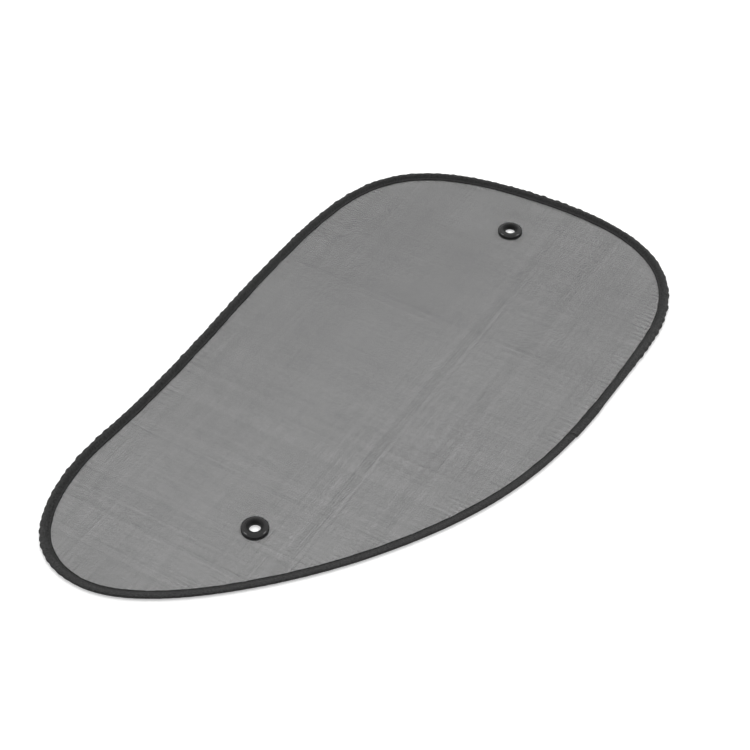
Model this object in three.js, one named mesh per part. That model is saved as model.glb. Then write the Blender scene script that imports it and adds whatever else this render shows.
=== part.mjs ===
// Side window sunshade: a mesh panel in a bound spring wire hoop, with an eyelet near each end.
// Millimetres. The shade lies flat on z = 0, its long axis along X, broad end at +X, sill side at +Y.
import * as THREE from "three";
import { mergeVertices } from "three/addons/utils/BufferGeometryUtils.js";

// Overall size over the binding
const length = 650;
const height = 371;

// Outline: where each knot of the edge lies, and how far its curve runs straight before and after it
const crownX = 90;
const crownBefore = 70;
const crownAfter = 148;
const broadEndY = -25;
const broadEndBefore = 207;
const broadEndAfter = 135;
const bellyX = 178;
const bellyBefore = 69;
const bellyAfter = 149;
const slopeFromNose = 150;
const slopeFromBelly = 89.5;
const slopeHeading = 145;
const slopeBefore = 148;
const slopeAfter = 66;
const noseY = 94;
const noseBefore = 64;
const noseAfter = 79;
const sillFromNose = 143;
const sillDrop = 3.5;
const sillHeading = -4;
const sillBefore = 56;
const sillAfter = 108;

// Clearances
const seatGap = 0.3;
const crimpGap = 0.15;
const lapGap = 0.1;

// Spring wire hoop and the ferrule that joins its ends
const wireDiameter = 1.6;
const wireEndGap = 0.4;
const ferruleWall = 0.35;
const ferruleLength = 26;
const crimpDepth = 0.15;
const crimpWidth = 2.4;
const crimpFromEnd = 6;

// Binding tape, folded over the hoop and the panel's edge
const tapeThickness = 0.55;
const bindingWidth = 9.8;
const foldFlat = 0.9;
const foldRun = 4;
const lapPastBelly = 103;
const lapLength = 38;
const lapEase = 12;
const ferrulePastLap = 48;

// Mesh panel: ridges with long gaps between them
const meshThickness = 0.4;
const ridgePitch = 7.4;
const gapWidth = 1.7;
const ridgeSlope = 0.7;
const leastBridge = 1;
const ridgeEdge = 0.12;
const gapUnderTape = 1;
const shortestGap = 6;

// Eyelets: a front ring with a barrel that snaps into a washer behind the mesh
const broadEyeletFromEnd = 66.7;
const noseEyeletFromEnd = 126.1;
const eyeletY = 4.6;
const eyeletDiameter = 24.4;
const eyeletHole = 10.2;
const eyeletRise = 2.9;
const holeEdgeDrop = 1.2;
const crestWidth = 1.4;
const barrelWall = 1.2;
const rimHeight = 0.9;
const beadDepth = 0.35;
const ledgeThickness = 0.35;
const barrelLift = 0.2;
const washerEdge = 0.5;

// Facets
const chordError = 0.28;
const longestStep = 28;
const wireSides = 8;
const ferruleSides = 10;
const eyeletSides = 24;
const lipSteps = 3;

// Levels and radii that follow from the sizes above
const wireRadius = wireDiameter / 2;
const ferruleBore = wireRadius + crimpGap;
const ferruleRadius = ferruleBore + ferruleWall;
const channelRadius = ferruleRadius + seatGap + tapeThickness;
const midZ = channelRadius;
const slotHalf = meshThickness / 2 + seatGap;
const panelInset = channelRadius + ferruleRadius + seatGap;
const gapInset = bindingWidth - gapUnderTape;

const fabricBlack = new THREE.MeshStandardMaterial({ color: 0x2c2c2d, roughness: 0.92, metalness: 0 });
const meshBlack = new THREE.MeshStandardMaterial({ color: 0x1d1d1e, roughness: 0.85, metalness: 0 });
const plasticBlack = new THREE.MeshStandardMaterial({ color: 0x141415, roughness: 0.28, metalness: 0 });
const springSteel = new THREE.MeshStandardMaterial({ color: 0x8e9196, roughness: 0.35, metalness: 1 });
const softSteel = new THREE.MeshStandardMaterial({ color: 0xa6a8ab, roughness: 0.45, metalness: 1 });

// The edge runs clockwise from the crown of the sill, over both ends and the belly
function edgeCurves() {
  const knots = [
    { x: crownX, y: height / 2, heading: 0, before: crownBefore, after: crownAfter },
    { x: length / 2, y: broadEndY, heading: -90, before: broadEndBefore, after: broadEndAfter },
    { x: bellyX, y: -height / 2, heading: 180, before: bellyBefore, after: bellyAfter },
    {
      x: slopeFromNose - length / 2,
      y: slopeFromBelly - height / 2,
      heading: slopeHeading,
      before: slopeBefore,
      after: slopeAfter,
    },
    { x: -length / 2, y: noseY, heading: 90, before: noseBefore, after: noseAfter },
    {
      x: sillFromNose - length / 2,
      y: height / 2 - sillDrop,
      heading: sillHeading,
      before: sillBefore,
      after: sillAfter,
    },
  ];
  return knots.map((from, i) => {
    const to = knots[(i + 1) % knots.length];
    const start = new THREE.Vector3(from.x, from.y, 0);
    const end = new THREE.Vector3(to.x, to.y, 0);
    const leave = headingVector(from.heading).multiplyScalar(from.after).add(start);
    const arrive = headingVector(to.heading).multiplyScalar(-to.before).add(end);
    return new THREE.CubicBezierCurve3(start, leave, arrive, end);
  });
}

function headingVector(degrees) {
  const angle = THREE.MathUtils.degToRad(degrees);
  return new THREE.Vector3(Math.cos(angle), Math.sin(angle), 0);
}

const curves = edgeCurves();
const curveLengths = curves.map((curve) => curve.getLength());
const edgeLength = curveLengths.reduce((sum, part) => sum + part, 0);

// Distances along the edge at which it gets a facet, closer together where it bends more
function edgeStations() {
  const stations = [];
  let start = 0;
  curves.forEach((curve, i) => {
    const turn = curve.getTangentAt(0).angleTo(curve.getTangentAt(1));
    const forBend = Math.sqrt((turn * curveLengths[i]) / (8 * chordError));
    const steps = Math.ceil(Math.max(forBend, curveLengths[i] / longestStep));
    for (let k = 0; k < steps; k++) {
      stations.push(start + (k / steps) * curveLengths[i]);
    }
    start += curveLengths[i];
  });
  return stations;
}

const stations = edgeStations();

// The stations from one distance to another, past the start of the edge too, with the wanted ones added
function stationsBetween(from, to, wanted = []) {
  const fixed = [from, ...wanted, to];
  const laps = [-1, 0, 1, 2].map((lap) => lap * edgeLength);
  const found = laps.flatMap((offset) => stations.map((s) => s + offset));
  const free = found.filter((s) => s > from && s < to && fixed.every((place) => Math.abs(s - place) > 1));
  return [...fixed, ...free].sort((a, b) => a - b);
}

// A point at an inset from the edge towards the panel, at a height, at a distance along the edge
function edgePoint(distance, inset, z) {
  let rest = THREE.MathUtils.euclideanModulo(distance, edgeLength);
  let i = 0;
  while (i < curves.length - 1 && rest >= curveLengths[i]) {
    rest -= curveLengths[i];
    i++;
  }
  const share = Math.min(rest / curveLengths[i], 1);
  const point = curves[i].getPointAt(share);
  const tangent = curves[i].getTangentAt(share);
  return new THREE.Vector3(point.x + tangent.y * inset, point.y - tangent.x * inset, z);
}

// A solid through rings of points; open ends are closed with the section's own outline
function loft(rings, closed, section) {
  const count = rings[0].length;
  const spans = closed ? rings.length : rings.length - 1;
  const index = [];
  for (let i = 0; i < spans; i++) {
    const here = i * count;
    const next = ((i + 1) % rings.length) * count;
    for (let j = 0; j < count; j++) {
      const k = (j + 1) % count;
      index.push(here + j, next + j, next + k, here + j, next + k, here + k);
    }
  }
  if (!closed) {
    const last = (rings.length - 1) * count;
    for (const [a, b, c] of THREE.ShapeUtils.triangulateShape(section, [])) {
      index.push(a, b, c, last + c, last + b, last + a);
    }
  }
  const geometry = new THREE.BufferGeometry();
  const positions = rings.flat().flatMap((point) => point.toArray());
  geometry.setAttribute("position", new THREE.Float32BufferAttribute(positions, 3));
  geometry.setIndex(index);
  return geometry;
}

// The folded tape's outline: a round channel over the wire and two flanges beside the panel
function tapeSection(radius, slot) {
  const flatEnd = channelRadius + foldFlat;
  const flangeStart = flatEnd + foldRun;
  const side = (channel, flange, way) => {
    const arc = [45, 90].map((degrees) => {
      const angle = THREE.MathUtils.degToRad(degrees);
      return [channelRadius - channel * Math.cos(angle), midZ + way * channel * Math.sin(angle)];
    });
    return [
      ...arc,
      [flatEnd, midZ + way * channel],
      [flangeStart, midZ + way * flange],
      [bindingWidth, midZ + way * flange],
    ];
  };
  const inside = radius - tapeThickness;
  const corners = [
    [channelRadius - radius, midZ],
    ...side(radius, slot + tapeThickness, -1),
    ...side(inside, slot, -1).reverse(),
    [channelRadius - inside, midZ],
    ...side(inside, slot, 1),
    ...side(radius, slot + tapeThickness, 1).reverse(),
  ];
  return corners.map(([inset, z]) => new THREE.Vector2(inset, z));
}

const lapStart = curveLengths[0] + curveLengths[1] + lapPastBelly;
const lapEnd = lapStart + lapLength;
const ferruleMiddle = lapEnd + ferrulePastLap;
const ferruleEnd = ferruleLength / 2;

// One length of tape right round the edge, whose last stretch laps over its first
function edgeBinding() {
  const under = tapeSection(channelRadius - tapeThickness - lapGap, slotHalf);
  const plain = tapeSection(channelRadius, slotHalf);
  const over = tapeSection(channelRadius, slotHalf + tapeThickness + lapGap);
  const marks = [
    [lapStart, under],
    [lapEnd, under],
    [lapEnd + lapEase, plain],
    [lapStart + edgeLength - lapEase, plain],
    [lapStart + edgeLength, over],
    [lapEnd + edgeLength, over],
  ];
  const places = marks.map(([s]) => s);
  const overFerrule = [-ferruleEnd, ferruleEnd].map((s) => ferruleMiddle + s);
  const rings = stationsBetween(places[0], places[5], [...places.slice(1, 5), ...overFerrule]).map((s) => {
    const i = Math.min(places.filter((place) => place <= s).length - 1, marks.length - 2);
    const share = (s - places[i]) / (places[i + 1] - places[i]);
    return marks[i][1].map((corner, j) => {
      const at = corner.clone().lerp(marks[i + 1][1][j], share);
      return edgePoint(s, at.x, at.y);
    });
  });
  return loft(rings, false, under);
}

function circle(x, y, radius, sides) {
  return Array.from({ length: sides }, (_, i) => {
    const angle = (2 * Math.PI * i) / sides;
    return new THREE.Vector2(x + radius * Math.cos(angle), y + radius * Math.sin(angle));
  });
}

const crimpMiddle = ferruleEnd - crimpFromEnd;
const ferruleSteps = [ferruleEnd, crimpMiddle + crimpWidth / 2, crimpMiddle, crimpMiddle - crimpWidth / 2];

// The hoop's wire, whose two ends face each other inside the ferrule; it has facets where the lap has them
function hoopWire() {
  const from = ferruleMiddle + wireEndGap / 2;
  const inFerrule = ferruleSteps.flatMap((s) => [ferruleMiddle + s, ferruleMiddle + edgeLength - s]);
  const inLap = [lapStart - lapEase, lapStart, lapEnd, lapEnd + lapEase].map((s) => s + edgeLength);
  const section = circle(channelRadius, midZ, wireRadius, wireSides);
  const rings = stationsBetween(from, from + edgeLength - wireEndGap, [...inFerrule, ...inLap]).map((s) => {
    return section.map((corner) => edgePoint(s, corner.x, corner.y));
  });
  return loft(rings, false, section);
}

// The ferrule's wall, taken round the wire; it is pressed in at two places
function wireFerrule() {
  const steps = [...ferruleSteps.map((s) => -s), ...[...ferruleSteps].reverse()];
  const rings = Array.from({ length: ferruleSides }, (_, i) => {
    const angle = (-2 * Math.PI * i) / ferruleSides;
    const at = (s, radius) => {
      const inset = channelRadius + radius * Math.cos(angle);
      return edgePoint(ferruleMiddle + s, inset, midZ + radius * Math.sin(angle));
    };
    const outside = steps.map((s) => at(s, ferruleRadius - (Math.abs(s) === crimpMiddle ? crimpDepth : 0)));
    const inside = [...steps].reverse().map((s) => at(s, ferruleBore));
    return [...outside, ...inside];
  });
  return loft(rings, true);
}

const eyelets = [
  { name: "eyelet_1", x: length / 2 - broadEyeletFromEnd },
  { name: "eyelet_2", x: noseEyeletFromEnd - length / 2 },
];
const eyeletRadius = eyeletDiameter / 2;
const barrelRadius = eyeletHole / 2 + barrelWall;

// How far a line across the panel runs between two edges of its clear field, as [low, high] at a given x
function clearSpan(field, x) {
  const crossings = [];
  field.forEach((a, i) => {
    const b = field[(i + 1) % field.length];
    if (a.x <= x !== b.x <= x) {
      crossings.push(a.y + ((x - a.x) / (b.x - a.x)) * (b.y - a.y));
    }
  });
  return crossings.length < 2 ? null : [Math.min(...crossings), Math.max(...crossings)];
}

// One gap between two ridges, split in two where it would run under an eyelet
function gapsAt(field, x) {
  const left = clearSpan(field, x - gapWidth / 2);
  const right = clearSpan(field, x + gapWidth / 2);
  if (!left || !right) {
    return [];
  }
  const keep = eyeletRadius - gapUnderTape;
  const blocked = eyelets.find((eyelet) => Math.abs(eyelet.x - x) < keep);
  const halfChord = blocked ? Math.sqrt(keep ** 2 - (blocked.x - x) ** 2) : 0;
  const reach = Math.max(halfChord, ridgeSlope + leastBridge / 2);
  const spans = blocked
    ? [
        [left[0], right[0], eyeletY - reach, eyeletY - reach],
        [eyeletY + reach, eyeletY + reach, left[1], right[1]],
      ]
    : [[left[0], right[0], left[1], right[1]]];
  return spans
    .filter(([lowLeft, lowRight, highLeft, highRight]) => {
      return Math.min(highLeft, highRight) - Math.max(lowLeft, lowRight) > shortestGap;
    })
    .map(([lowLeft, lowRight, highLeft, highRight]) => [
      new THREE.Vector2(x - gapWidth / 2, lowLeft),
      new THREE.Vector2(x + gapWidth / 2, lowRight),
      new THREE.Vector2(x + gapWidth / 2, highRight),
      new THREE.Vector2(x - gapWidth / 2, highLeft),
    ]);
}

// The panel: a plain margin held in the binding, and ridges with gaps between them inside it
function meshPanel() {
  const ring = (inset) => {
    const points = stations.map((s) => edgePoint(s, inset, 0));
    return points.map((point) => new THREE.Vector2(point.x, point.y));
  };
  const shape = new THREE.Shape(ring(panelInset));
  const field = ring(gapInset);
  const reach = Math.ceil(length / 2 / ridgePitch);
  for (let k = -reach; k <= reach; k++) {
    for (const gap of gapsAt(field, k * ridgePitch)) {
      shape.holes.push(new THREE.Path(gap));
    }
  }
  for (const eyelet of eyelets) {
    shape.holes.push(new THREE.Path(circle(eyelet.x, eyeletY, barrelRadius + seatGap, eyeletSides)));
  }
  const geometry = new THREE.ExtrudeGeometry(shape, {
    depth: meshThickness - 2 * ridgeEdge,
    steps: 1,
    bevelEnabled: true,
    bevelSegments: 1,
    bevelThickness: ridgeEdge,
    bevelSize: ridgeSlope,
    bevelOffset: -ridgeSlope,
  });
  geometry.translate(0, 0, midZ - meshThickness / 2 + ridgeEdge);
  return geometry;
}

function ringAbout(profile) {
  const points = profile.map(([radius, z]) => new THREE.Vector2(radius, z));
  return new THREE.LatheGeometry([...points, points[0].clone()], eyeletSides).rotateX(Math.PI / 2);
}

const frontSeat = midZ + meshThickness / 2 + seatGap;
const washerTop = midZ - meshThickness / 2 - seatGap;
const beadTop = washerTop - ledgeThickness - seatGap;

// Front ring: a rounded lip round the hole, and a barrel that ends in a snap bead
function eyeletFront() {
  const holeRadius = eyeletHole / 2;
  const crestMiddle = (holeRadius + eyeletRadius) / 2;
  const crestZ = midZ + meshThickness / 2 + eyeletRise;
  const lip = (fromRadius, fromZ, toRadius) => {
    return Array.from({ length: lipSteps + 1 }, (_, i) => {
      const angle = (Math.PI / 2) * (i / lipSteps);
      const across = toRadius + (fromRadius - toRadius) * Math.cos(angle);
      return [across, fromZ + (crestZ - fromZ) * Math.sin(angle)];
    });
  };
  return ringAbout([
    [holeRadius, barrelLift],
    [barrelRadius, barrelLift],
    [barrelRadius + beadDepth, (barrelLift + beadTop) / 2],
    [barrelRadius, beadTop],
    [barrelRadius, frontSeat],
    [eyeletRadius, frontSeat],
    ...lip(eyeletRadius, frontSeat + rimHeight, crestMiddle + crestWidth / 2),
    ...lip(holeRadius, crestZ - holeEdgeDrop, crestMiddle - crestWidth / 2).reverse(),
  ]);
}

// Washer: its ledge catches the front ring's bead
function eyeletBack() {
  const ledge = barrelRadius + seatGap;
  const rebate = barrelRadius + beadDepth + seatGap;
  const ledgeZ = washerTop - ledgeThickness;
  return ringAbout([
    [rebate, 0],
    [eyeletRadius - washerEdge, 0],
    [eyeletRadius, washerEdge],
    [eyeletRadius, washerTop],
    [ledge, washerTop],
    [ledge, ledgeZ],
    [rebate, ledgeZ],
  ]);
}

const shade = new THREE.Group();

function addPiece(name, geometry, material, x = 0, y = 0) {
  geometry.deleteAttribute("normal");
  geometry.deleteAttribute("uv");
  const piece = new THREE.Mesh(mergeVertices(geometry), material);
  piece.name = name;
  piece.position.set(x, y, 0);
  shade.add(piece);
}

addPiece("mesh_panel", meshPanel(), meshBlack);
addPiece("edge_binding", edgeBinding(), fabricBlack);
addPiece("hoop_wire", hoopWire(), springSteel);
addPiece("wire_ferrule", wireFerrule(), softSteel);
for (const eyelet of eyelets) {
  addPiece(`${eyelet.name}_front`, eyeletFront(), plasticBlack, eyelet.x, eyeletY);
  addPiece(`${eyelet.name}_back`, eyeletBack(), plasticBlack, eyelet.x, eyeletY);
}

export default shade;
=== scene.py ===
"""Side window sunshade: a mesh panel in a wire hoop, bound with tape, with an eyelet near each end.

Sizes and places are in millimetres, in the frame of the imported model; each mesh is written in metres.
"""

import math

import bpy
import numpy as np
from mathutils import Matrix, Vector


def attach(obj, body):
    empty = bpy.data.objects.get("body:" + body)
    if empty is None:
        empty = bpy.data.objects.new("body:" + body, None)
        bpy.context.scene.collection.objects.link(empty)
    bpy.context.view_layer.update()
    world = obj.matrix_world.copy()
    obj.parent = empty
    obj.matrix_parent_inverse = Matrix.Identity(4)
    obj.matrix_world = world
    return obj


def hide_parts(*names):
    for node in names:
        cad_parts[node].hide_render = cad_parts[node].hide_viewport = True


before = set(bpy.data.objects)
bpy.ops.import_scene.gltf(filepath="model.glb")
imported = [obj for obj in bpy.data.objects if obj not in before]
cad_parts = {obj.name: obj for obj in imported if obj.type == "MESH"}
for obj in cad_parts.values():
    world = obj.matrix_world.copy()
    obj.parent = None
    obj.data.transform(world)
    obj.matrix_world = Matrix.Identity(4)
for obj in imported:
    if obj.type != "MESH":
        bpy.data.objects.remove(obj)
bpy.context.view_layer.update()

MM = 0.001
TAU = 2 * math.pi

# Camera, at the photograph's viewing angle
CAMERA_AZIMUTH = -58.75
CAMERA_ELEVATION = 44.5
CAMERA_DISTANCE = 1.5271
CAMERA_AIM = Vector((0.0108, 0.0138, 0.002))
CAMERA_LENS = 79.68
CAMERA_SENSOR = 36.0

# Outer edge of the binding, clockwise: x, y, heading in degrees, straight run before and after
KNOTS = [
    (90, 185.5, 0, 70, 148),
    (325, -25, -90, 207, 135),
    (178, -185.5, 180, 69, 149),
    (-175, -96, 145, 148, 66),
    (-325, 94, 90, 64, 79),
    (-182, 182, -4, 56, 108),
]
SPAN_STEPS = 600

# Binding tape
TAPE = 0.55
BINDING_WIDTH = 8.9
CHANNEL_RADIUS = 2.15
TIGHT_RADIUS = 1.5
FOLD_FLAT = 0.6
FOLD_RUN = 4.2
SLOT_HALF = 0.25
LAP_PAST_BELLY = 103
LAP_LENGTH = 38
LAP_EASE = 12
LAP_GAP = 0.1
MID_Z = CHANNEL_RADIUS
LOWEST_Z = 0.02
EDGE_SWAY = ((0.28, 9), (0.15, 31))
END_ROUND = 0.3

# Points across half of the tape's section: round the hoop, flat over it, down the slope, along the flange
ARC_POINTS = 9
FLAT_POINTS = 3
SLOPE_POINTS = 6
FLANGE_POINTS = 8

# Distance across the tape, measured over its outside, from its lower inner edge to the fold
FOLD_LINE = BINDING_WIDTH - CHANNEL_RADIUS + math.pi / 2 * CHANNEL_RADIUS

# Seam along the binding's inner edge
STITCH_PITCH = 3.6
SEAM_INSET = 7.6
SEAM_SINK = 0.22
SEAM_SPREAD = 0.9
SINK_STEADY = 0.8
SINK_SWING = 0.2
THREAD_RADIUS = 0.17
THREAD_SIDES = 6
STITCH_POINTS = 7
STITCH_SPAN = (0.1, 0.9)
STITCH_RISE = 0.26
STITCH_SUNK = 0.16
STITCH_SWAY = 0.1
HEM = 0.3
HEM_START = 5.2
HEM_RUN = 1.4

# Thread tacks at the lap's ends
TACK_FROM_END = 1.2
TACK_REACH = 0.75
TACK_TURNS = 5
TACK_POINTS = 9
TACK_ARC = (5, 88)
TACK_GAP = 0.1
TACK_SLACK = 0.12
TACK_SLANT = 0.25
TACK_THREAD = 1.15

# Puckers of the tape where it turns round the hoop
PUCKER_PITCH = (6.5, 10.5)
PUCKER_RISE = (0.5, 2.0)
PUCKER_LEAN = (0.3, 0.6)
PUCKER_LIFT = 0.55
LIVELY = (0.72, 0.28)
LIVELY_PITCH = 70
SMOOTH_RUN = (640, 1300)
SMOOTH_EASE = 60
SMOOTH_SHARE = 0.8

# Ripples across the tape's upper side: where, how wide, how far they lean, and each one's height and pitch
RIPPLE_INSET = 4.2
RIPPLE_SPREAD = 2.6
RIPPLE_LEAN = 0.7
RIPPLES = ((0.16, 6), (0.14, 19))

# Mesh yarns
YARN_PITCH = 0.7
YARN_WIDTH = 0.235
YARN_THICKNESS = 0.11
YARN_STEP = 25
YARN_JITTER = 0.03
YARN_WOBBLE = 0.03
YARN_WIDTHS = (0.82, 1.18)
YARN_CROSSING = 0.42
YARN_GAP = 0.35
SHORTEST_YARN = 1
OUTLINE_POINTS = 900
GRAIN_SHIFT = 0.6
GRAIN_EASE = 30
GRAIN_SECOND = 0.6
MESH_INSET = 5.0
MESH_DROOP = 0.85
DROOP_RUN = 7.0
EYELET_LIFT_RUN = 30

# Eyelets
EYELETS = {"eyelet_1": (258.3, 4.6), "eyelet_2": (-198.9, 4.6)}
EYELET_RADIUS = 12.2
EYELET_HOLE = 5.1
BARREL_RADIUS = 6.3
FRONT_SEAT = 2.65
RIM_Z = 3.2
CREST_Z = 5.25
CREST_RADIUS = 9.0
HOLE_EDGE_Z = 3.3
WASHER_TOP = 1.65
EYELET_SIDES = 96
ARRIS = 0.15
BARREL_FOOT = 0.2
BEAD = 0.35
BEAD_Z = 0.6
BEAD_TOP = 1.0
WASHER_EDGE = 0.5
WASHER_ROUND = 0.25
LEDGE_RADIUS = BARREL_RADIUS + 0.65
WASHER_HOLE = BARREL_RADIUS + 0.3
LEDGE_Z = WASHER_TOP - 0.35

# Light
WORLD_LIGHT = 0.3
FLOOR_GLOW = 0.41
FLOOR_HALF = 30.0
FLOOR_GREY = 0.82
SIDE_LAMP = {"elevation": 52, "strength": 0.45, "spread_degrees": 17}
BACK_LAMP = {"elevation": 48, "strength": 2.0, "spread_degrees": 50}
SIDE_LAMP_TURN = 100

# Colours, as plain greys
TAPE_GREY = 0.03
YARN_GREY = 0.03
THREAD_GREY = 0.022
PLASTIC_GREY = 0.008
SPRING_GREY = 0.34
FERRULE_GREY = 0.43

rng = np.random.default_rng(7)


# Geometry along the edge


def heading_vector(degrees):
    angle = math.radians(degrees)
    return np.array([math.cos(angle), math.sin(angle)])


def span(start, end):
    """Points of one curved span of the edge and their unit tangents."""
    t = np.linspace(0, 1, SPAN_STEPS + 1)[:, None]
    u = 1 - t
    p0, p3 = np.array(start[:2], float), np.array(end[:2], float)
    p1 = p0 + heading_vector(start[2]) * start[4]
    p2 = p3 - heading_vector(end[2]) * end[3]
    points = u**3 * p0 + 3 * u * u * t * p1 + 3 * u * t * t * p2 + t**3 * p3
    slopes = u * u * (p1 - p0) + 2 * u * t * (p2 - p1) + t * t * (p3 - p2)
    return points, slopes / np.linalg.norm(slopes, axis=1)[:, None]


def edge_table():
    """Distance, point and tangent all round the edge, and the distance at which each span ends."""
    points, tangents, ends = [], [], []
    distances = [np.zeros(1)]
    total = 0.0
    for start, end in zip(KNOTS, KNOTS[1:] + KNOTS[:1]):
        p, t = span(start, end)
        steps = np.linalg.norm(np.diff(p, axis=0), axis=1)
        distances.append(total + np.cumsum(steps))
        total += steps.sum()
        ends.append(total)
        points.append(p[:-1])
        tangents.append(t[:-1])
    points.append(points[0][:1])
    tangents.append(tangents[0][:1])
    return np.concatenate(distances), np.vstack(points), np.vstack(tangents), ends


EDGE_S, EDGE_P, EDGE_T, SPAN_ENDS = edge_table()
EDGE_LENGTH = EDGE_S[-1]
LAP_START = SPAN_ENDS[1] + LAP_PAST_BELLY


def edge_at(s):
    """Points on the edge at distances s, and unit normals towards the panel."""
    s = np.mod(s, EDGE_LENGTH)
    point = np.stack([np.interp(s, EDGE_S, EDGE_P[:, k]) for k in (0, 1)], -1)
    tangent = np.stack([np.interp(s, EDGE_S, EDGE_T[:, k]) for k in (0, 1)], -1)
    return point, np.stack([tangent[..., 1], -tangent[..., 0]], -1)


def place(s, inset, z):
    """Points at an inset from the edge and a height."""
    point, inward = edge_at(s)
    flat = point + inward * np.asarray(inset)[..., None]
    return np.concatenate([flat, np.broadcast_to(z, flat.shape[:-1])[..., None]], -1)


def wander(s, pitch, seed):
    """A smooth random value between -1 and 1 along the edge, the same after a full turn."""
    count = max(4, round(EDGE_LENGTH / pitch))
    knots = np.random.default_rng(seed).uniform(-1, 1, count)
    at = np.mod(s, EDGE_LENGTH) / EDGE_LENGTH * count
    i = np.floor(at).astype(int) % count
    f = at - np.floor(at)
    f = f * f * (3 - 2 * f)
    return knots[i] * (1 - f) + knots[(i + 1) % count] * f


def smooth(x):
    x = np.clip(x, 0, 1)
    return x * x * (3 - 2 * x)


def droop(inset):
    """How far the panel hangs below the hoop's middle, by distance from the edge."""
    return MESH_DROOP * smooth((inset - CHANNEL_RADIUS) / DROOP_RUN)


# Meshes


def add_mesh(name, points, faces, material, replaced=(), uv=None, smooth_shade=True):
    mesh = bpy.data.meshes.new(name)
    mesh.from_pydata((np.asarray(points) * MM).tolist(), [], faces)
    if uv is not None:
        layer = mesh.uv_layers.new(name="Across")
        corners = np.empty(len(mesh.loops), np.int32)
        mesh.loops.foreach_get("vertex_index", corners)
        layer.data.foreach_set("uv", uv[corners].astype(np.float32).ravel())
    mesh.polygons.foreach_set("use_smooth", [smooth_shade] * len(mesh.polygons))
    mesh.materials.append(material)
    mesh.validate()
    mesh.update()
    piece = bpy.data.objects.new(name, mesh)
    bpy.context.scene.collection.objects.link(piece)
    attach(piece, "root")
    if replaced:
        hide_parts(*replaced)
    return piece


def ring_faces(rings, count, first=0, closed=False):
    """Quads between rings of count points each."""
    i = np.arange(rings if closed else rings - 1)[:, None]
    j = np.arange(count)[None, :]
    here, ahead = first + i * count, first + ((i + 1) % rings) * count
    k = (j + 1) % count
    quads = np.stack([here + j, ahead + j, ahead + k, here + k], -1)
    return quads.reshape(-1, 4).tolist()


# Materials


def node_material(name):
    material = bpy.data.materials.new(name)
    material.use_nodes = True
    return material, material.node_tree.nodes["Principled BSDF"]


def add_node(material, kind, inputs=None, **settings):
    node = material.node_tree.nodes.new(kind)
    for key, value in settings.items():
        setattr(node, key, value)
    for key, value in (inputs or {}).items():
        if isinstance(value, bpy.types.NodeSocket):
            material.node_tree.links.new(value, node.inputs[key])
        else:
            node.inputs[key].default_value = value
    return node


def noise(material, vector, scale, detail=2.0):
    inputs = {"Vector": vector, "Scale": scale, "Detail": detail}
    return add_node(material, "ShaderNodeTexNoise", inputs).outputs["Fac"]


def spread(material, value, low, high, from_low=0.3, from_high=0.7):
    """A value mapped from its middle range to low and high."""
    inputs = {"Value": value, "From Min": from_low, "From Max": from_high, "To Min": low, "To Max": high}
    return add_node(material, "ShaderNodeMapRange", inputs).outputs["Result"]


def maths(material, operation, a, b):
    return add_node(material, "ShaderNodeMath", {0: a, 1: b}, operation=operation).outputs[0]


def grey(material, value, level):
    """A neutral colour: the level, scaled by a value."""
    return maths(material, "MULTIPLY", value, level)


def link(material, output, shader, socket):
    material.node_tree.links.new(output, shader.inputs[socket])


def bump(material, height, strength, distance, before=None):
    inputs = {"Height": height, "Strength": strength, "Distance": distance}
    if before is not None:
        inputs["Normal"] = before
    return add_node(material, "ShaderNodeBump", inputs).outputs[0]


def tape_material():
    material, shader = node_material("Tape_fabric")
    uv = add_node(material, "ShaderNodeUVMap", uv_map="Across").outputs[0]
    ribs = add_node(
        material, "ShaderNodeTexWave", {"Vector": uv, "Scale": 0.39, "Distortion": 0.6}, bands_direction="Y"
    ).outputs["Fac"]
    yarns = add_node(
        material, "ShaderNodeTexWave", {"Vector": uv, "Scale": 0.62, "Distortion": 0.4}, bands_direction="X"
    ).outputs["Fac"]
    weave = maths(material, "MULTIPLY", ribs, yarns)
    speckle = spread(material, noise(material, uv, 0.6, 3.0), 0.5, 1.6)
    cloudy = spread(material, noise(material, uv, 0.07, 2.0), 0.9, 1.12)
    shade = maths(material, "MULTIPLY", speckle, cloudy)
    shade = maths(material, "MULTIPLY", shade, spread(material, weave, 0.82, 1.1, 0.0, 1.0))
    # Lighter over the fold and darker along the flange: painted light on the crest and painted shade on the
    # flange, on top of the tape's own tone.
    across = add_node(material, "ShaderNodeSeparateXYZ", {"Vector": uv}).outputs["X"]
    from_fold = maths(material, "ABSOLUTE", maths(material, "SUBTRACT", across, FOLD_LINE), 0.0)
    shade = maths(material, "MULTIPLY", shade, spread(material, from_fold, 1.27, 0.72, 3.5, 8.5))
    link(material, grey(material, shade, TAPE_GREY), shader, "Base Color")
    link(material, spread(material, speckle, 0.95, 0.8, 0.5, 1.6), shader, "Roughness")
    shader.inputs["Sheen Weight"].default_value = 0.12
    shader.inputs["Sheen Roughness"].default_value = 0.5
    shader.inputs["Specular IOR Level"].default_value = 0.25
    fine = bump(material, weave, 0.6, 0.00018)
    coarse = bump(material, noise(material, uv, 0.6, 3.0), 0.5, 0.0004, fine)
    link(material, coarse, shader, "Normal")
    return material


def yarn_material():
    material, shader = node_material("Mesh_yarn")
    place_out = add_node(material, "ShaderNodeTexCoord").outputs["Object"]
    fine = spread(material, noise(material, place_out, 900.0, 2.0), 0.7, 1.35)
    broad = spread(material, noise(material, place_out, 14.0, 2.0), 0.92, 1.08)
    shade = maths(material, "MULTIPLY", fine, broad)
    link(material, grey(material, shade, YARN_GREY), shader, "Base Color")
    link(material, spread(material, fine, 0.75, 0.55, 0.7, 1.35), shader, "Roughness")
    shader.inputs["Sheen Weight"].default_value = 0.1
    shader.inputs["Specular IOR Level"].default_value = 0.3
    link(material, bump(material, noise(material, place_out, 2600.0, 2.0), 0.4, 0.00005), shader, "Normal")
    return material


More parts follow.
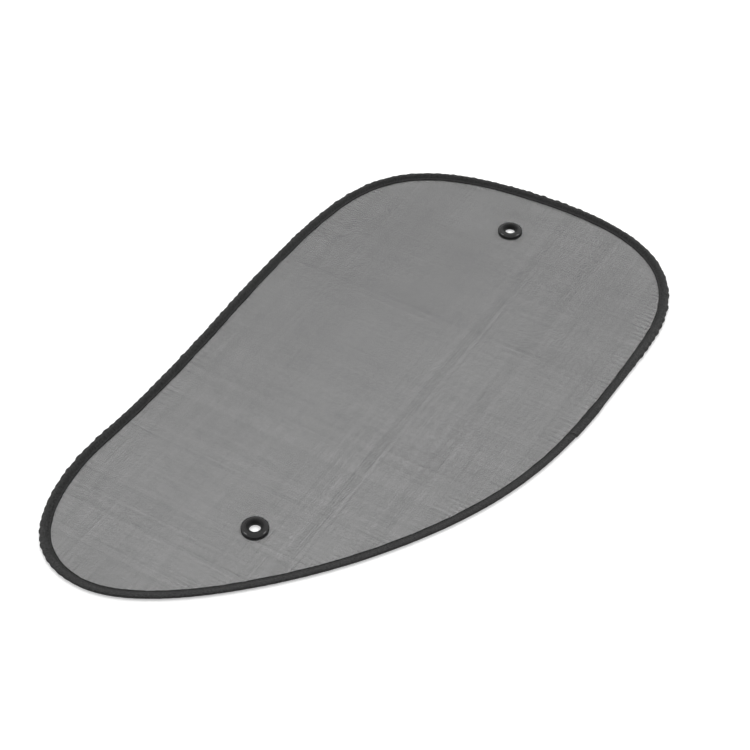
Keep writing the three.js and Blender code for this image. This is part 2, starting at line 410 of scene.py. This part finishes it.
def thread_material():
    material, shader = node_material("Seam_thread")
    place_out = add_node(material, "ShaderNodeTexCoord").outputs["Object"]
    twist = add_node(
        material,
        "ShaderNodeTexWave",
        {"Vector": place_out, "Scale": 420.0, "Distortion": 1.5},
        bands_direction="DIAGONAL",
    ).outputs["Fac"]
    shade = spread(material, twist, 0.7, 1.2, 0.0, 1.0)
    link(material, grey(material, shade, THREAD_GREY), shader, "Base Color")
    link(material, spread(material, twist, 0.62, 0.48, 0.0, 1.0), shader, "Roughness")
    link(material, bump(material, twist, 0.5, 0.0001), shader, "Normal")
    return material


def plastic_material():
    material, shader = node_material("Eyelet_plastic")
    place_out = add_node(material, "ShaderNodeTexCoord").outputs["Object"]
    cloudy = noise(material, place_out, 160.0, 3.0)
    shade = spread(material, cloudy, 0.85, 1.2)
    link(material, grey(material, shade, PLASTIC_GREY), shader, "Base Color")
    uv = add_node(material, "ShaderNodeUVMap", uv_map="Across").outputs[0]
    radius = add_node(material, "ShaderNodeSeparateXYZ", {"Vector": uv}).outputs["X"]
    # Towards the bore the specular level drops to darken its reflections: painted shade in the hole's recess.
    # The roughness rises there as well.
    bore = spread(material, radius, 1.0, 0.0, 7.0, 9.0)
    scuffs = spread(material, noise(material, place_out, 420.0, 3.0), 0.1, 0.2)
    dulled = maths(material, "MULTIPLY", bore, 0.3)
    link(material, maths(material, "ADD", scuffs, dulled), shader, "Roughness")
    link(material, spread(material, bore, 0.43, 0.12, 0.0, 1.0), shader, "Specular IOR Level")
    link(material, bump(material, noise(material, place_out, 240.0, 2.0), 0.25, 0.00006), shader, "Normal")
    return material


def steel_material(name, tint, rough):
    material, shader = node_material(name)
    place_out = add_node(material, "ShaderNodeTexCoord").outputs["Object"]
    drawn = noise(material, place_out, 700.0, 3.0)
    link(material, grey(material, spread(material, drawn, 0.88, 1.06), tint), shader, "Base Color")
    link(material, spread(material, drawn, rough + 0.1, rough - 0.08), shader, "Roughness")
    shader.inputs["Metallic"].default_value = 1.0
    link(material, bump(material, drawn, 0.3, 0.00004), shader, "Normal")
    return material


# Binding


def pucker_profile():
    """How far the fold stands out along the edge: uneven rounded puckers, each steeper on one side."""
    places, rises = [0.0], [0.0]
    at = 0.0
    while at < EDGE_LENGTH - PUCKER_PITCH[1]:
        pitch = rng.uniform(*PUCKER_PITCH)
        rise = rng.uniform(*PUCKER_RISE)
        lean = rng.uniform(*PUCKER_LEAN)
        for share, part in ((lean * 0.5, 0.75), (lean, 1.0), ((lean + 1) / 2, 0.7), (1.0, 0.1)):
            places.append(at + share * pitch)
            rises.append(rise * part)
        at += pitch
    places.append(EDGE_LENGTH)
    rises.append(0.0)
    return np.array(places), np.array(rises)


PUCKER_S, PUCKER_D = pucker_profile()


def near_side(s):
    """1 along the belly and the slope to the nose, where the tape lies smooth, and 0 elsewhere."""
    at = np.mod(s, EDGE_LENGTH)
    return smooth((at - SMOOTH_RUN[0]) / SMOOTH_EASE) * smooth((SMOOTH_RUN[1] - at) / SMOOTH_EASE)


def pucker(s):
    """How far the fold stands out at distances s, livelier in some places than in others."""
    lively = (LIVELY[0] + LIVELY[1] * wander(s, LIVELY_PITCH, 11)) * (1 - SMOOTH_SHARE * near_side(s))
    return np.interp(np.mod(s, EDGE_LENGTH), PUCKER_S, PUCKER_D) * lively


def tape_centre(radius, slot, edge_shift):
    """Half of the folded tape's centre line, from the fold to its inner edge: inset and height."""
    arc = np.radians(np.linspace(0, 90, ARC_POINTS))
    flat = np.linspace(0, 1, FLAT_POINTS)[1:] * FOLD_FLAT
    slope = np.linspace(0, 1, SLOPE_POINTS)[1:]
    flange = np.linspace(0, 1, FLANGE_POINTS)[1:]
    flange_start = CHANNEL_RADIUS + FOLD_FLAT + FOLD_RUN
    end = BINDING_WIDTH + edge_shift[:, None] - flange_start
    radius, slot = radius[:, None], slot[:, None]
    ones = np.ones_like(radius)
    inset = np.concatenate(
        [
            CHANNEL_RADIUS - radius * np.cos(arc),
            (CHANNEL_RADIUS + flat) * ones,
            (CHANNEL_RADIUS + FOLD_FLAT + slope * FOLD_RUN) * ones,
            flange_start + flange * end,
        ],
        1,
    )
    height = np.concatenate(
        [
            radius * np.sin(arc),
            radius * np.ones_like(flat),
            slot + (radius - slot) * (1 - smooth(slope)),
            slot * np.ones_like(flange),
        ],
        1,
    )
    return inset, height


def seam_dip(s, inset):
    """How far the seam pulls a flange towards the mesh."""
    phase = np.cos(TAU * s / STITCH_PITCH)
    depth = SEAM_SINK * (SINK_STEADY + SINK_SWING * phase)
    return depth[:, None] * np.exp(-(((inset - SEAM_INSET) / SEAM_SPREAD) ** 2))


def hem(slot, inset):
    """How much thicker the flange is where its edge is turned in; the lapped end is left single."""
    single = np.clip((slot - SLOT_HALF - TAPE / 2) / LAP_GAP, 0, 1)[:, None]
    return HEM * smooth((inset - HEM_START) / HEM_RUN) * (1 - single)


def layer_at(s):
    """The tape's centre radius and flange height along its run: under the lap, plain, or over it."""
    t = TAPE
    flange = SLOT_HALF + t / 2
    plain = CHANNEL_RADIUS - (CHANNEL_RADIUS - TIGHT_RADIUS) * near_side(s) - t / 2
    loose = np.full_like(plain, CHANNEL_RADIUS - t / 2)
    lap_end = LAP_START + LAP_LENGTH
    turned = LAP_START + EDGE_LENGTH
    places = [LAP_START, lap_end, lap_end + LAP_EASE, turned - LAP_EASE, turned]
    under = np.interp(s, places, [1, 1, 0, 0, 0])
    over = np.interp(s, places, [0, 0, 0, 0, 1])
    radius = plain + (loose - t - LAP_GAP - plain) * under + (loose - plain) * over
    return radius, flange + (t + LAP_GAP) * over


def build_binding(material):
    steps = round((EDGE_LENGTH + LAP_LENGTH) / (STITCH_PITCH / 2))
    s = np.linspace(LAP_START, LAP_START + EDGE_LENGTH + LAP_LENGTH, steps + 1)
    radius, slot = layer_at(s)
    sides = []
    for way, seed in ((-1, 31), (1, 41)):
        shift = sum(reach * wander(s, pitch, seed + k) for k, (reach, pitch) in enumerate(EDGE_SWAY))
        inset, height = tape_centre(radius, slot, shift)
        rise = pucker(s)[:, None]
        away = np.clip(1 - inset / CHANNEL_RADIUS, 0, 1)
        if way > 0:
            lean = s[:, None] + RIPPLE_LEAN * inset
            waves = sum(reach * wander(lean, pitch, 51 + k) for k, (reach, pitch) in enumerate(RIPPLES))
            ripple = np.exp(-(((inset - RIPPLE_INSET) / RIPPLE_SPREAD) ** 2)) * waves
            lift = PUCKER_LIFT * rise * np.clip(away * 3, 0, 1) * np.clip(height / CHANNEL_RADIUS, 0, 1)
            height = height + ripple + lift
        inset = inset - away**0.5 * rise
        sides.append((inset, way * height - droop(inset), seam_dip(s, inset), hem(slot, inset)))
    inset, height, dip, fold = (
        np.concatenate([below[:, :0:-1], above], 1) for below, above in zip(*sides)
    )
    along = np.stack([np.gradient(inset, axis=1), np.gradient(height, axis=1)], -1)
    along /= np.linalg.norm(along, axis=-1)[..., None]
    out = np.stack([-along[..., 1], along[..., 0]], -1)
    centre = np.stack([inset, height], -1)
    outer = centre + out * (TAPE / 2 - dip)[..., None]
    inner = centre - out * (TAPE / 2 + fold)[..., None]
    ends = [
        (outer[:, [k]] + inner[:, [k]]) / 2 + along[:, [k]] * way * TAPE * END_ROUND
        for k, way in ((0, -1), (-1, 1))
    ]
    section = np.concatenate([ends[0], outer, ends[1], inner[:, ::-1]], 1)
    count = section.shape[1]
    points = place(s[:, None] * np.ones((1, count)), section[..., 0], MID_Z + section[..., 1])
    points[..., 2] = np.maximum(points[..., 2], LOWEST_Z)
    faces = ring_faces(len(s), count)
    faces.append(list(range(count))[::-1])
    faces.append([(len(s) - 1) * count + k for k in range(count)])
    step = np.linalg.norm(np.diff(section, axis=1), axis=-1).mean(0)
    across = np.concatenate([[0], np.cumsum(step)])
    uv = np.stack(np.broadcast_arrays(across[None, :], s[:, None]), -1).reshape(-1, 2)
    return add_mesh("binding", points.reshape(-1, 3), faces, material, ("edge_binding",), uv)


def tube(path, radius):
    """Points and faces of a thread along a path of points, closed at its ends."""
    sides = THREAD_SIDES
    path = np.asarray(path, float)
    ahead = np.gradient(path, axis=0)
    ahead /= np.linalg.norm(ahead, axis=1)[:, None]
    side = np.cross(ahead, np.array((0, 0, 1), float))
    side /= np.linalg.norm(side, axis=1)[:, None]
    lift = np.cross(side, ahead)
    angle = TAU * np.arange(sides) / sides
    around = side[:, None] * np.cos(angle)[:, None] + lift[:, None] * np.sin(angle)[:, None]
    points = path[:, None] + around * radius
    faces = ring_faces(len(path), sides)
    faces.append(list(range(sides))[::-1])
    faces.append([(len(path) - 1) * sides + k for k in range(sides)])
    return points.reshape(-1, 3), faces


def gather(parts):
    """Points and faces of many small parts as one mesh."""
    points, faces, first = [], [], 0
    for p, f in parts:
        points.append(p)
        faces += [[first + k for k in face] for face in f]
        first += len(p)
    return np.vstack(points), faces


def flange_face(s, way):
    """Height of the flange's outer face at the seam."""
    _, slot = layer_at(s)
    dip = seam_dip(s, np.full((len(s), 1), SEAM_INSET))[:, 0]
    return MID_Z - droop(SEAM_INSET) + way * (slot + TAPE / 2 - dip)


def build_seam(material):
    parts = []
    run = np.linspace(*STITCH_SPAN, STITCH_POINTS)
    hump = np.sin(math.pi * np.linspace(0, 1, STITCH_POINTS))
    first = LAP_START + LAP_LENGTH
    count = int(EDGE_LENGTH / STITCH_PITCH)
    for k in range(count):
        s = first + (k + run) * EDGE_LENGTH / count
        sway = rng.uniform(-STITCH_SWAY, STITCH_SWAY)
        for way in (-1, 1):
            rise = flange_face(s, way) + way * (STITCH_RISE * hump - STITCH_SUNK)
            path = place(s, np.full(STITCH_POINTS, SEAM_INSET + sway), rise)
            parts.append(tube(path, THREAD_RADIUS))
    points, faces = gather(parts)
    return add_mesh("seam_thread", points, faces, material)


def build_tacks(material):
    """The two thread tacks that hold the lap's ends, each a few turns over the fold."""
    parts = []
    angle = np.radians(np.linspace(*TACK_ARC, TACK_POINTS))
    outside = CHANNEL_RADIUS + TACK_GAP
    for end in (LAP_START + TACK_FROM_END, LAP_START + LAP_LENGTH - TACK_FROM_END):
        for turn in np.linspace(-TACK_REACH, TACK_REACH, TACK_TURNS):
            slack = TACK_SLACK * rng.uniform(0, 1)
            reach = outside + slack + pucker(np.full(TACK_POINTS, end)) * np.cos(angle)
            inset = CHANNEL_RADIUS - reach * np.cos(angle)
            lean = TACK_SLANT if rng.uniform() > 0.5 else -TACK_SLANT
            slant = np.linspace(-lean, lean, TACK_POINTS)
            path = place(end + turn + slant, inset, MID_Z + outside * np.sin(angle))
            parts.append(tube(path, THREAD_RADIUS * TACK_THREAD))
    points, faces = gather(parts)
    return add_mesh("lap_tacks", points, faces, material)


# Mesh panel


def spans_inside(outline, level, axis):
    """Stretches along one axis that lie inside an outline, at a level of the other axis."""
    other = 1 - axis
    a, b = outline, np.roll(outline, -1, 0)
    crossing = (a[:, other] <= level) != (b[:, other] <= level)
    a, b = a[crossing], b[crossing]
    share = (level - a[:, other]) / (b[:, other] - a[:, other])
    cuts = np.sort(a[:, axis] + share * (b[:, axis] - a[:, axis]))
    spans = list(zip(cuts[::2], cuts[1::2]))
    for x, y in EYELETS.values():
        centre = (x, y)
        off = abs(level - centre[other])
        hole = BARREL_RADIUS + YARN_GAP
        if off >= hole:
            continue
        reach = math.sqrt(hole**2 - off**2)
        low, high = centre[axis] - reach, centre[axis] + reach
        spans = [
            part
            for from_, to in spans
            for part in ((from_, min(to, low)), (max(from_, high), to))
            if part[1] > part[0]
        ]
    return [(from_, to) for from_, to in spans if to - from_ > SHORTEST_YARN]


def drift(u, v, wave, bend, bend_wave, cross_wave, long_wave):
    """One direction's share of the drift: a bent wave along u and a finer one across it."""
    bent = np.sin(u / wave + bend * np.sin(v / bend_wave))
    return bent + GRAIN_SECOND * np.sin(v / cross_wave + u / long_wave)


def grain(points):
    """A slow sideways drift of the yarns, as knitted mesh has when it is stretched in its hoop."""
    x, y = points[:, 0], points[:, 1]
    across = drift(x, y, 61, 1.3, 83, 37, 143)
    along = drift(y, x, 53, 1.1, 97, 41, -121)
    return np.stack([across, along], -1) * GRAIN_SHIFT / 2


def panel_height(points, outline):
    """The panel's height: it hangs a little below the hoop, and the eyelets hold it up."""
    gaps = np.linalg.norm(points[:, None] - outline[None, ::3], axis=-1).min(1)
    hang = droop(MESH_INSET + gaps)
    for centre in EYELETS.values():
        reach = np.linalg.norm(points - np.array(centre), axis=1)
        hang = hang * smooth((reach - EYELET_RADIUS) / EYELET_LIFT_RUN)
    return MID_Z - hang


def build_mesh(material):
    ring = np.linspace(0, EDGE_LENGTH, OUTLINE_POINTS, endpoint=False)
    outline = place(ring, np.full(OUTLINE_POINTS, MESH_INSET), 0.0)[:, :2]
    parts = []
    for axis in (0, 1):
        other = 1 - axis
        low, high = outline[:, other].min(), outline[:, other].max()
        count = int((high - low) / YARN_PITCH)
        for k in range(count):
            level = low + (k + 0.5) * (high - low) / count + rng.normal(0, YARN_JITTER)
            for from_, to in spans_inside(outline, level, axis):
                steps = max(1, round((to - from_) / YARN_STEP))
                run = np.linspace(from_, to, steps + 1)
                line = np.full((steps + 1, 2), level)
                line[:, axis] = run
                inside = smooth(np.minimum(run - from_, to - run) / GRAIN_EASE)
                line[:, other] += grain(line)[:, other] * inside
                line[1:-1, other] += rng.normal(0, YARN_WOBBLE, steps - 1)
                width = YARN_WIDTH * rng.uniform(*YARN_WIDTHS) / 2
                level_z = panel_height(line, outline) + (1 - 2 * axis) * YARN_THICKNESS * YARN_CROSSING
                corners = ((-width, -1), (width, -1), (width, 1), (-width, 1))
                points = np.empty((steps + 1, 4, 3))
                for c, (side, way) in enumerate(corners):
                    points[:, c, :2] = line
                    points[:, c, other] += side
                    points[:, c, 2] = level_z + way * YARN_THICKNESS / 2
                faces = ring_faces(steps + 1, 4)
                faces += [[3, 2, 1, 0], [steps * 4 + c for c in range(4)]]
                parts.append((points.reshape(-1, 3), faces))
    points, faces = gather(parts)
    return add_mesh("mesh", points, faces, material, ("mesh_panel",), smooth_shade=False)


# Eyelets


def arc(centre, radii, start, stop, steps):
    """Points on a quarter of an ellipse in section: radius and height."""
    angle = np.radians(np.linspace(start, stop, steps))
    return [(centre[0] + radii[0] * math.cos(a), centre[1] + radii[1] * math.sin(a)) for a in angle]


def lathe(name, profile, centre, material, node):
    profile = np.array(profile)
    angle = TAU * np.arange(EYELET_SIDES) / EYELET_SIDES
    points = np.empty((EYELET_SIDES, len(profile), 3))
    points[..., 0] = centre[0] + profile[None, :, 0] * np.cos(angle)[:, None]
    points[..., 1] = centre[1] + profile[None, :, 0] * np.sin(angle)[:, None]
    points[..., 2] = profile[None, :, 1]
    faces = ring_faces(EYELET_SIDES, len(profile), closed=True)
    around = np.broadcast_to(angle[:, None], (EYELET_SIDES, len(profile)))
    uv = np.stack([np.broadcast_to(profile[None, :, 0], around.shape), around], -1).reshape(-1, 2)
    return add_mesh(name, points.reshape(-1, 3), faces, material, (node,), uv)


def front_profile():
    """The front ring: barrel and bead, flat underside, upright rim, slope, crest and a turn into the hole."""
    slope = arc((CREST_RADIUS, RIM_Z), (EYELET_RADIUS - CREST_RADIUS, CREST_Z - RIM_Z), 0, 90, 16)
    lip_radii = (CREST_RADIUS - EYELET_HOLE, CREST_Z - HOLE_EDGE_Z)
    lip = arc((CREST_RADIUS, HOLE_EDGE_Z), lip_radii, 95, 180, 16)
    return [
        (EYELET_HOLE, BARREL_FOOT + ARRIS),
        (EYELET_HOLE + ARRIS, BARREL_FOOT),
        (BARREL_RADIUS - ARRIS, BARREL_FOOT),
        (BARREL_RADIUS, BARREL_FOOT + ARRIS),
        (BARREL_RADIUS + BEAD, BEAD_Z),
        (BARREL_RADIUS, BEAD_TOP),
        (BARREL_RADIUS, FRONT_SEAT),
        (EYELET_RADIUS - ARRIS, FRONT_SEAT),
        (EYELET_RADIUS, FRONT_SEAT + ARRIS),
        *slope,
        *lip,
    ][::-1]


def back_profile():
    """The washer behind the mesh, with a rounded outer edge and a ledge for the barrel's bead."""
    edge, top = WASHER_EDGE, WASHER_ROUND
    return [
        (LEDGE_RADIUS, 0.0),
        *arc((EYELET_RADIUS - edge, edge), (edge, edge), -90, 0, 6),
        *arc((EYELET_RADIUS - top, WASHER_TOP - top), (top, top), 0, 90, 4),
        (WASHER_HOLE, WASHER_TOP),
        (WASHER_HOLE, LEDGE_Z),
        (LEDGE_RADIUS, LEDGE_Z),
    ][::-1]


# Floor, light and camera


def ray_switch(tree):
    """1 for rays from the camera, off gloss and through glass, 0 for the rest."""
    path = tree.nodes.new("ShaderNodeLightPath")
    total = path.outputs["Is Camera Ray"]
    for name in ("Is Glossy Ray", "Is Transmission Ray"):
        larger = tree.nodes.new("ShaderNodeMath")
        larger.operation = "MAXIMUM"
        tree.links.new(total, larger.inputs[0])
        tree.links.new(path.outputs[name], larger.inputs[1])
        total = larger.outputs[0]
    return total


def build_floor():
    mesh = bpy.data.meshes.new("floor")
    corners = [(x * FLOOR_HALF, y * FLOOR_HALF, 0) for x, y in ((-1, -1), (1, -1), (1, 1), (-1, 1))]
    mesh.from_pydata(corners, [], [(0, 1, 2, 3)])
    material = bpy.data.materials.new("Floor")
    material.use_nodes = True
    tree = material.node_tree
    tree.nodes.clear()
    diffuse = tree.nodes.new("ShaderNodeBsdfDiffuse")
    diffuse.inputs["Color"].default_value = (FLOOR_GREY, FLOOR_GREY, FLOOR_GREY, 1)
    glow = tree.nodes.new("ShaderNodeEmission")
    strength = tree.nodes.new("ShaderNodeMath")
    strength.operation = "MULTIPLY"
    strength.inputs[1].default_value = FLOOR_GLOW
    tree.links.new(ray_switch(tree), strength.inputs[0])
    tree.links.new(strength.outputs[0], glow.inputs["Strength"])
    both = tree.nodes.new("ShaderNodeAddShader")
    tree.links.new(diffuse.outputs[0], both.inputs[0])
    tree.links.new(glow.outputs[0], both.inputs[1])
    out = tree.nodes.new("ShaderNodeOutputMaterial")
    tree.links.new(both.outputs[0], out.inputs["Surface"])
    mesh.materials.append(material)
    floor = bpy.data.objects.new("floor", mesh)
    bpy.context.scene.collection.objects.link(floor)


def build_world():
    world = bpy.data.worlds.new("Studio")
    bpy.context.scene.world = world
    world.use_nodes = True
    tree = world.node_tree
    background = tree.nodes["Background"]
    background.inputs["Color"].default_value = (1, 1, 1, 1)
    strength = tree.nodes.new("ShaderNodeMapRange")
    strength.inputs["To Min"].default_value = WORLD_LIGHT
    strength.inputs["To Max"].default_value = 1.0
    tree.links.new(ray_switch(tree), strength.inputs["Value"])
    tree.links.new(strength.outputs["Result"], background.inputs["Strength"])


def build_sun(name, azimuth, elevation, strength, spread_degrees, mirrored=True):
    """A soft lamp whose light comes from an azimuth and elevation counted as the camera's are."""
    lamp = bpy.data.lights.new(name, "SUN")
    lamp.energy = strength
    lamp.angle = math.radians(spread_degrees)
    sun = bpy.data.objects.new(name, lamp)
    a, e = math.radians(azimuth), math.radians(elevation)
    towards = Vector((math.sin(a) * math.cos(e), -math.cos(a) * math.cos(e), math.sin(e)))
    sun.rotation_mode = "QUATERNION"
    sun.rotation_quaternion = towards.to_track_quat("Z", "Y")
    sun.visible_glossy = mirrored
    bpy.context.scene.collection.objects.link(sun)


def build_camera():
    data = bpy.data.cameras.new("camera")
    data.lens = CAMERA_LENS
    data.sensor_width = CAMERA_SENSOR
    camera = bpy.data.objects.new("camera", data)
    a, e = math.radians(CAMERA_AZIMUTH), math.radians(CAMERA_ELEVATION)
    back = Vector((math.sin(a) * math.cos(e), -math.cos(a) * math.cos(e), math.sin(e)))
    camera.location = CAMERA_AIM + back * CAMERA_DISTANCE
    camera.rotation_mode = "QUATERNION"
    camera.rotation_quaternion = (-back).to_track_quat("-Z", "Y")
    bpy.context.scene.collection.objects.link(camera)
    bpy.context.scene.camera = camera


build_camera()
build_floor()
build_world()
build_sun("lamp_left", CAMERA_AZIMUTH - SIDE_LAMP_TURN, **SIDE_LAMP)
build_sun("lamp_right", CAMERA_AZIMUTH + SIDE_LAMP_TURN, **SIDE_LAMP)
build_sun("lamp_back", CAMERA_AZIMUTH + 180, **BACK_LAMP, mirrored=False)

thread = thread_material()
plastic = plastic_material()
binding = build_binding(tape_material())
seam = build_seam(thread)
tacks = build_tacks(thread)
mesh = build_mesh(yarn_material())
fronts_and_backs = []
for eyelet, centre in EYELETS.items():
    front = lathe(f"{eyelet}_ring", front_profile(), centre, plastic, f"{eyelet}_front")
    back = lathe(f"{eyelet}_washer", back_profile(), centre, plastic, f"{eyelet}_back")
    fronts_and_backs += [front, back]

for node, material in (
    ("hoop_wire", steel_material("Spring_steel", SPRING_GREY, 0.35)),
    ("wire_ferrule", steel_material("Ferrule_steel", FERRULE_GREY, 0.42)),
):
    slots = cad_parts[node].data.materials
    if len(slots):
        slots[0] = material
    else:
        slots.append(material)

bpy.context.scene.view_settings.view_transform = "Standard"
